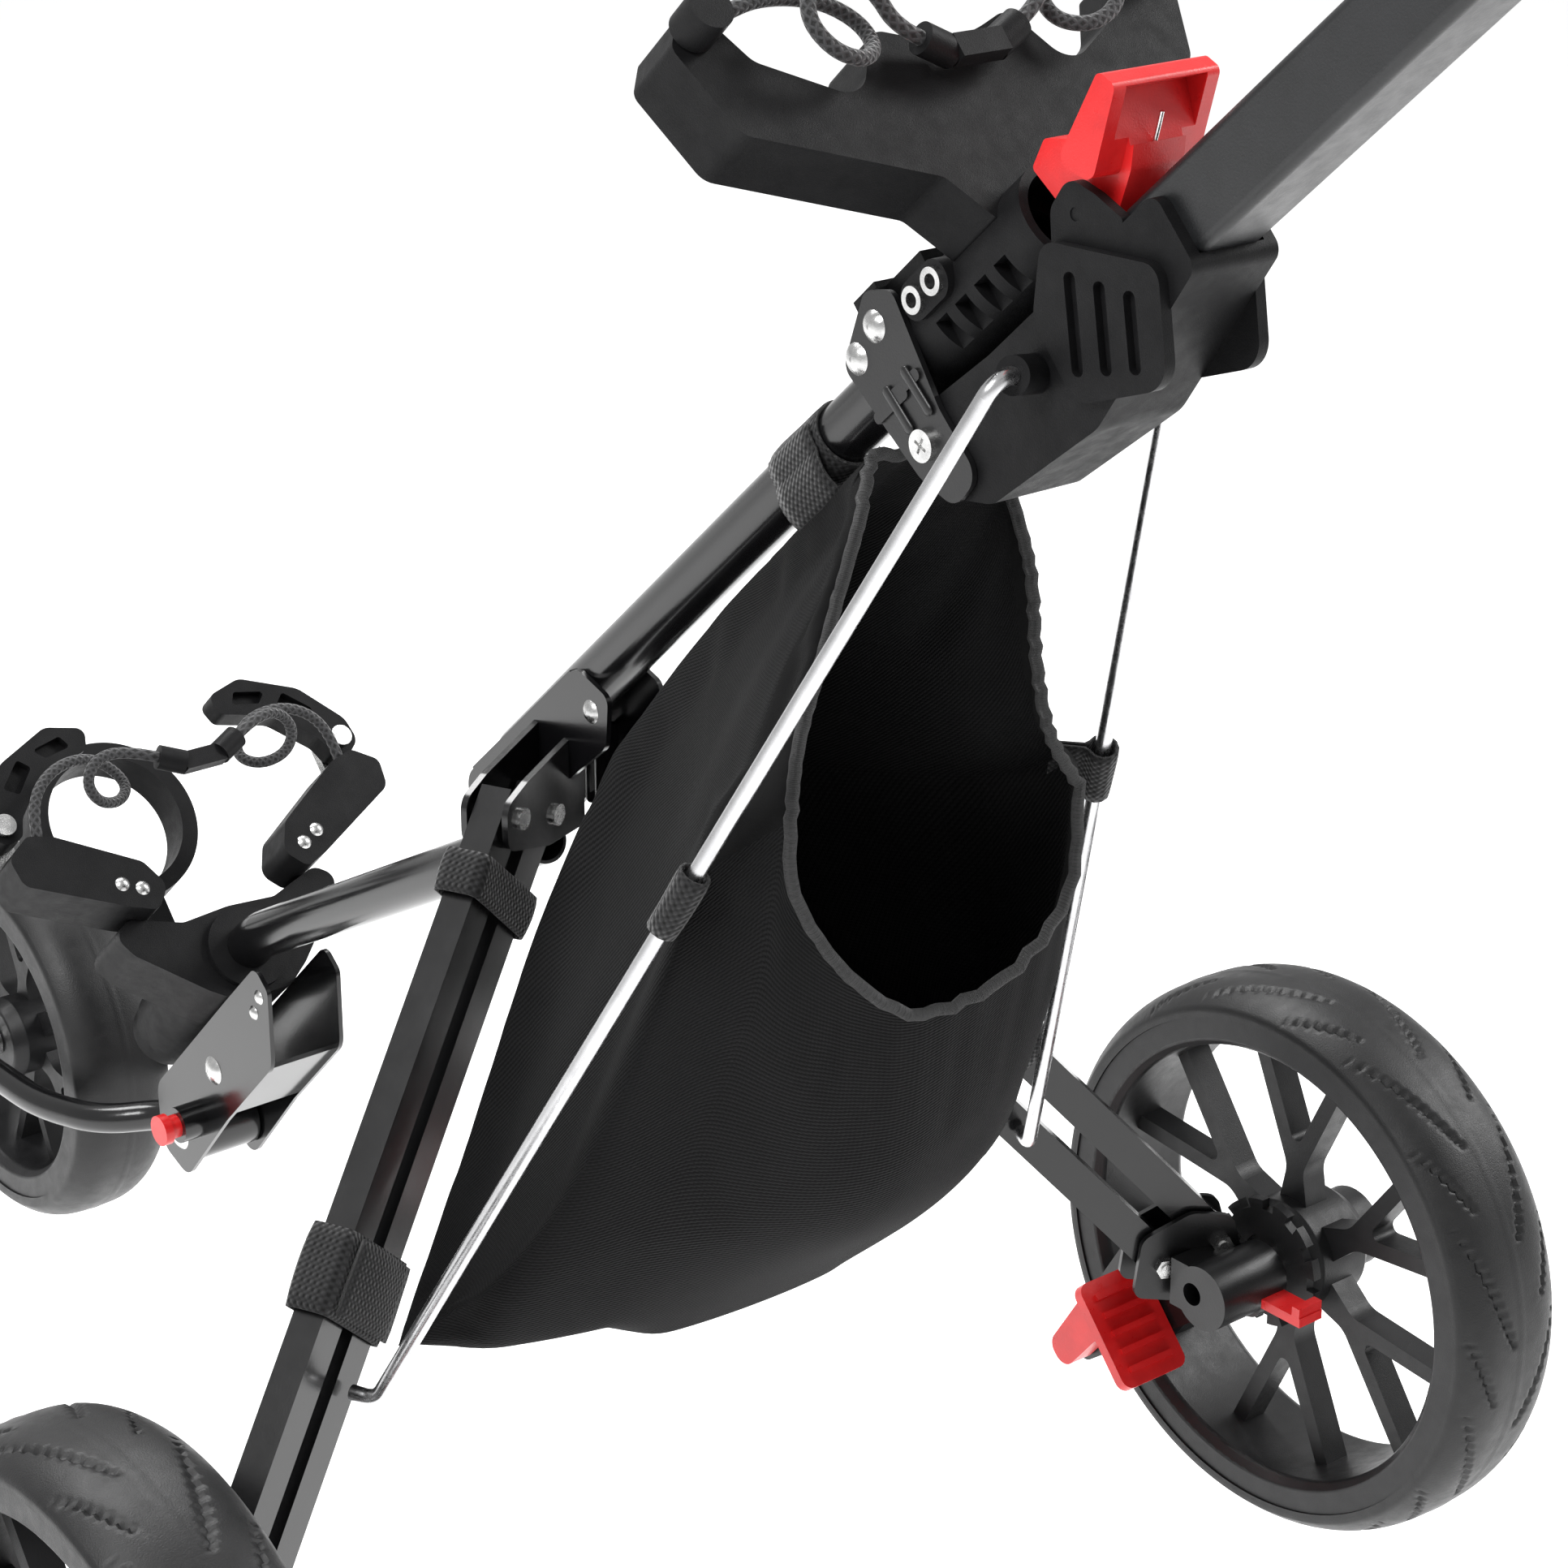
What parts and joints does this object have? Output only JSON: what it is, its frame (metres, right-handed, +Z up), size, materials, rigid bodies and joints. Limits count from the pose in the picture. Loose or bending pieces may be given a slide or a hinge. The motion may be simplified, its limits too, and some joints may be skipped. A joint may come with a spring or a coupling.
{
  "type": "golf push cart",
  "caption": "Folding push cart with two rear wheels and one front wheel, bag cradles with elastic cords, a push handle, a foot brake and an open fabric storage pouch.",
  "frame": {"origin": "on the ground, in the middle of the cart's length and width", "axes": "+Z up, +Y towards the front wheel, +X to the right of the person pushing"},
  "size_m": [0.756, 1.3244, 1.02],
  "materials": {
    "gloss_black_steel": "gloss black powder-coated steel tube and folded plate",
    "leg_paint": "semi-gloss black painted rectangular tube",
    "satin_black_steel": "satin black painted pressed steel",
    "handle_paint": "satin black painted square tube",
    "black_nylon": "matte black glass-filled nylon, fine spark grain",
    "grip_foam": "black closed-cell foam",
    "red_plastic": "bright red moulded plastic, slight sheen",
    "bright_rod": "bright drawn steel rod",
    "zinc_fastener": "zinc-plated steel",
    "tyre_foam": "black EVA tyre with moulded flame grooves",
    "rim_plastic": "matte black moulded wheel plastic",
    "elastic_cord": "black braided elastic cord",
    "pouch_fabric": "black woven polyester with bound edges",
    "webbing": "coarse black polypropylene webbing"
  },
  "bodies": {
    "frame": {"main_tube": "gloss_black_steel", "front_arm": "gloss_black_steel", "top_sleeve": "black_nylon", "upper_cradle": "black_nylon", "cradle_rollers": "black_nylon", "side_plate_left": "satin_black_steel", "side_plate_right": "satin_black_steel", "handle_pivot_screws": "zinc_fastener", "knee_bracket": "gloss_black_steel", "leg_pivot_pins": "zinc_fastener", "lower_socket": "black_nylon", "front_fold_bracket": "gloss_black_steel", "front_fold_pin": "zinc_fastener", "lower_saddle": "black_nylon", "bracket_arm_left": "black_nylon", "bracket_arm_right": "black_nylon", "frame_rivets": "zinc_fastener", "hook_screws": "zinc_fastener", "bag_rest_ring": "black_nylon", "upper_bungee_left": "elastic_cord", "upper_bungee_right": "elastic_cord", "lower_bungee_left": "elastic_cord", "lower_bungee_right": "elastic_cord", "upper_cord_clip": "black_nylon", "lower_cord_clip": "black_nylon", "storage_pouch": "pouch_fabric", "tube_strap": "webbing"},
    "handle": {"handle_housing": "black_nylon", "handle_tube": "handle_paint", "handle_neck": "black_nylon", "grip_foam": "grip_foam"},
    "latch": {"latch_lever": "red_plastic"},
    "rod_left": {"support_rod_left": "bright_rod"},
    "rod_right": {"support_rod_right": "bright_rod"},
    "upper_leg_left": {"leg_upper_tube_left": "leg_paint"},
    "upper_leg_right": {"leg_upper_tube_right": "leg_paint"},
    "lower_leg_left": {"leg_lower_tube_left": "leg_paint", "rod_anchor_left": "zinc_fastener", "leg_strap_left": "webbing"},
    "lower_leg_right": {"leg_lower_tube_right": "leg_paint", "rod_anchor_right": "zinc_fastener", "leg_strap_right": "webbing"},
    "axle_carrier_left": {"axle_bracket_left": "satin_black_steel", "axle_and_bolts_left": "zinc_fastener"},
    "axle_carrier_right": {"axle_bracket_right": "satin_black_steel", "axle_and_bolts_right": "zinc_fastener"},
    "release_left": {"wheel_release_left": "red_plastic"},
    "release_right": {"wheel_release_right": "red_plastic"},
    "brake": {"brake_pedal": "red_plastic"},
    "wheel_left": {"rear_tyre_left": "tyre_foam", "rear_rim_left": "rim_plastic"},
    "wheel_right": {"rear_tyre_right": "tyre_foam", "rear_rim_right": "rim_plastic"},
    "fork": {"front_fork": "gloss_black_steel", "front_axle": "zinc_fastener"},
    "front_wheel": {"front_tyre": "tyre_foam", "front_rim": "rim_plastic"},
    "button": {"fold_button": "red_plastic"},
    "hook_left": {"cord_hook_left": "black_nylon"},
    "hook_right": {"cord_hook_right": "black_nylon"}
  },
  "joints": [
    {"name": "handle_fold", "type": "hinge", "parent": "frame", "child": "handle", "pos_m": [0, -0.26975, 0.666], "axis": [1, 0, 0], "range_deg": [0, 72], "deforming": ["storage_pouch"]},
    {"name": "latch_press", "type": "hinge", "parent": "handle", "child": "latch", "pos_m": [0, -0.34475, 0.768], "axis": [1, 0, 0], "range_deg": [0, 14], "stiffness_Nm_per_rad": 1.2, "springref_deg": -20.05},
    {"name": "rod_swing_left", "type": "hinge", "parent": "handle", "child": "rod_left", "pos_m": [-0.046, -0.33275, 0.71], "axis": [-0.9538, -0.2454, 0.1733], "range_deg": [0, 66.08]},
    {"name": "lower_leg_fold_left", "type": "hinge", "parent": "frame", "child": "lower_leg_left", "pos_m": [-0.032, -0.01445, 0.4381], "axis": [0.4084, -0.9128, 0], "range_deg": [0, 39.8]},
    {"name": "upper_leg_fold_left", "type": "hinge", "parent": "frame", "child": "upper_leg_left", "pos_m": [-0.05966, -0.02683, 0.447], "axis": [0.4084, -0.9128, 0], "range_deg": [0, 39.8]},
    {"name": "axle_level_left", "type": "hinge", "parent": "lower_leg_left", "child": "axle_carrier_left", "pos_m": [-0.27, -0.12075, 0.151], "axis": [0.4084, -0.9128, 0], "range_deg": [-39.8, 0]},
    {"name": "wheel_spin_left", "type": "hinge", "parent": "axle_carrier_left", "child": "wheel_left", "pos_m": [-0.34, -0.15475, 0.146], "axis": [1, 0, 0], "continuous": true},
    {"name": "wheel_release_press_left", "type": "slide", "parent": "axle_carrier_left", "child": "release_left", "axis": [0, 0, -1], "range_m": [0, 0.004], "stiffness_N_per_m": 400, "springref_m": -0.002},
    {"name": "rod_swing_right", "type": "hinge", "parent": "handle", "child": "rod_right", "pos_m": [0.046, -0.33275, 0.71], "axis": [-0.9538, 0.2454, -0.1733], "range_deg": [0, 66.08]},
    {"name": "lower_leg_fold_right", "type": "hinge", "parent": "frame", "child": "lower_leg_right", "pos_m": [0.032, -0.01445, 0.4381], "axis": [0.4084, 0.9128, 0], "range_deg": [0, 39.8]},
    {"name": "upper_leg_fold_right", "type": "hinge", "parent": "frame", "child": "upper_leg_right", "pos_m": [0.05966, -0.02683, 0.447], "axis": [0.4084, 0.9128, 0], "range_deg": [0, 39.8]},
    {"name": "axle_level_right", "type": "hinge", "parent": "lower_leg_right", "child": "axle_carrier_right", "pos_m": [0.27, -0.12075, 0.151], "axis": [0.4084, 0.9128, 0], "range_deg": [-39.8, 0]},
    {"name": "wheel_spin_right", "type": "hinge", "parent": "axle_carrier_right", "child": "wheel_right", "pos_m": [0.34, -0.15475, 0.146], "axis": [1, 0, 0], "continuous": true},
    {"name": "wheel_release_press_right", "type": "slide", "parent": "axle_carrier_right", "child": "release_right", "axis": [0, 0, -1], "range_m": [0, 0.004], "stiffness_N_per_m": 400, "springref_m": -0.002},
    {"name": "brake_press", "type": "hinge", "parent": "axle_carrier_right", "child": "brake", "pos_m": [0, -0.07375, 0.102], "axis": [1, 0, 0], "range_deg": [0, 12]},
    {"name": "front_fold", "type": "hinge", "parent": "frame", "child": "fork", "pos_m": [0, 0.34525, 0.13], "axis": [1, 0, 0], "range_deg": [-120, 0]},
    {"name": "front_wheel_spin", "type": "hinge", "parent": "fork", "child": "front_wheel", "pos_m": [0, 0.55025, 0.112], "axis": [1, 0, 0], "continuous": true},
    {"name": "fold_button_press", "type": "slide", "parent": "frame", "child": "button", "axis": [1, 0, 0], "range_m": [0, 0.004], "stiffness_N_per_m": 400, "springref_m": -0.002},
    {"name": "cord_hook_turn_left", "type": "hinge", "parent": "frame", "child": "hook_left", "pos_m": [-0.104, 0.36987, 0.32251], "axis": [0, 0.7455, -0.6665], "range_deg": [0, 25]},
    {"name": "cord_hook_turn_right", "type": "hinge", "parent": "frame", "child": "hook_right", "pos_m": [0.104, 0.36987, 0.32251], "axis": [0, -0.7455, 0.6665], "range_deg": [0, 25]}
  ],
  "couplings": [
    {"joint": "rod_swing_left", "follows": "handle_fold", "ratio": 0.915},
    {"joint": "lower_leg_fold_left", "follows": "handle_fold", "ratio": 0.55},
    {"joint": "upper_leg_fold_left", "follows": "handle_fold", "ratio": 0.55},
    {"joint": "axle_level_left", "follows": "handle_fold", "ratio": -0.55},
    {"joint": "rod_swing_right", "follows": "handle_fold", "ratio": 0.915},
    {"joint": "lower_leg_fold_right", "follows": "handle_fold", "ratio": 0.55},
    {"joint": "upper_leg_fold_right", "follows": "handle_fold", "ratio": 0.55},
    {"joint": "axle_level_right", "follows": "handle_fold", "ratio": -0.55}
  ]
}
